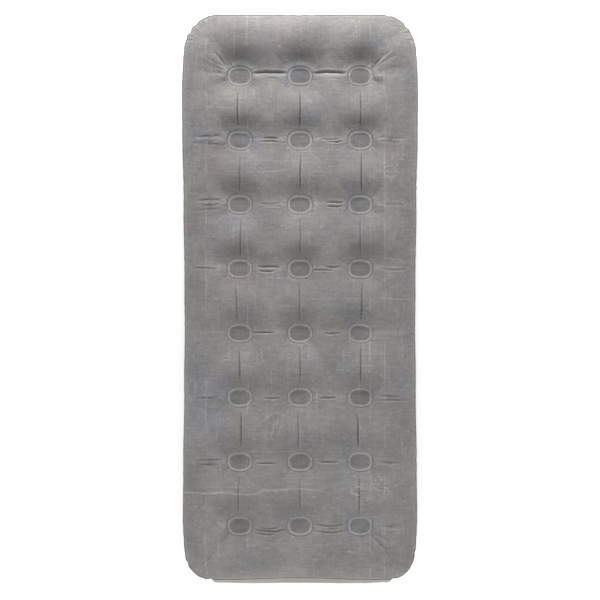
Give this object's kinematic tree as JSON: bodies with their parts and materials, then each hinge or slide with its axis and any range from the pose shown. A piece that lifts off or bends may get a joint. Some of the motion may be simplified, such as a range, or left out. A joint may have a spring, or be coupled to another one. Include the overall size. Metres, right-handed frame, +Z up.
{
  "type": "air mattress",
  "caption": "Single flocked air mattress with dimpled coil beams, welded vinyl sheets and a screw valve with a tethered cap at the foot end.",
  "frame": {"origin": "the middle of the underside, on the surface the bed lies on", "axes": "+X across the bed to the sleeper's left when lying on the back, +Y along the bed to the head, +Z up"},
  "size_m": [0.79, 1.8821, 0.22],
  "materials": {
    "flock": "short grey flock, velvety, with rubbed marks",
    "wall_vinyl": "grey flocked vinyl side wall, slightly lighter than the top",
    "base_vinyl": "dark grey embossed vinyl",
    "coil_vinyl": "plain grey vinyl film",
    "valve_plastic": "moulded dark grey plastic",
    "cap_plastic": "moulded soft grey plastic",
    "valve_rubber": "soft black rubber"
  },
  "bodies": {
    "mattress": {"top_sheet": "flock", "side_wall": "wall_vinyl", "bottom_sheet": "base_vinyl", "coil_beam_1_left": "coil_vinyl", "coil_beam_1_middle": "coil_vinyl", "coil_beam_1_right": "coil_vinyl", "coil_beam_2_left": "coil_vinyl", "coil_beam_2_middle": "coil_vinyl", "coil_beam_2_right": "coil_vinyl", "coil_beam_3_left": "coil_vinyl", "coil_beam_3_middle": "coil_vinyl", "coil_beam_3_right": "coil_vinyl", "coil_beam_4_left": "coil_vinyl", "coil_beam_4_middle": "coil_vinyl", "coil_beam_4_right": "coil_vinyl", "coil_beam_5_left": "coil_vinyl", "coil_beam_5_middle": "coil_vinyl", "coil_beam_5_right": "coil_vinyl", "coil_beam_6_left": "coil_vinyl", "coil_beam_6_middle": "coil_vinyl", "coil_beam_6_right": "coil_vinyl", "coil_beam_7_left": "coil_vinyl", "coil_beam_7_middle": "coil_vinyl", "coil_beam_7_right": "coil_vinyl", "coil_beam_8_left": "coil_vinyl", "coil_beam_8_middle": "coil_vinyl", "coil_beam_8_right": "coil_vinyl", "valve_base": "valve_plastic"},
    "gasket": {"insert_gasket": "valve_rubber"},
    "insert": {"valve_insert": "valve_plastic", "flap_tab": "valve_rubber", "flap_rivet": "valve_plastic", "tether_strap": "cap_plastic"},
    "flap": {"flap_disc": "valve_rubber"},
    "clip": {"cap_clip": "cap_plastic"},
    "cap": {"screw_cap": "cap_plastic", "cap_seal": "valve_rubber"}
  },
  "joints": [
    {"name": "insert_lift", "type": "slide", "parent": "mattress", "child": "gasket", "axis": [0, -0.9613, -0.2756], "range_m": [0, 0.00601]},
    {"name": "insert_turn", "type": "hinge", "parent": "gasket", "child": "insert", "pos_m": [0.215, -0.9242, 0.08299], "axis": [0, -0.9613, -0.2756], "range_deg": [0, 720]},
    {"name": "flap_swing", "type": "hinge", "parent": "insert", "child": "flap", "pos_m": [0.215, -0.919, 0.09696], "axis": [1, 0, 0], "range_deg": [0, 60], "stiffness_Nm_per_rad": 0.0005},
    {"name": "cap_lift", "type": "slide", "parent": "insert", "child": "clip", "axis": [0, -0.9613, -0.2756], "range_m": [0, 0.00601]},
    {"name": "cap_turn", "type": "hinge", "parent": "clip", "child": "cap", "pos_m": [0.215, -0.9242, 0.08299], "axis": [0, -0.9613, -0.2756], "range_deg": [0, 720]}
  ],
  "couplings": [
    {"joint": "insert_lift", "follows": "insert_turn", "m_per_rad": 0.00047746},
    {"joint": "cap_lift", "follows": "cap_turn", "m_per_rad": 0.00047746}
  ]
}
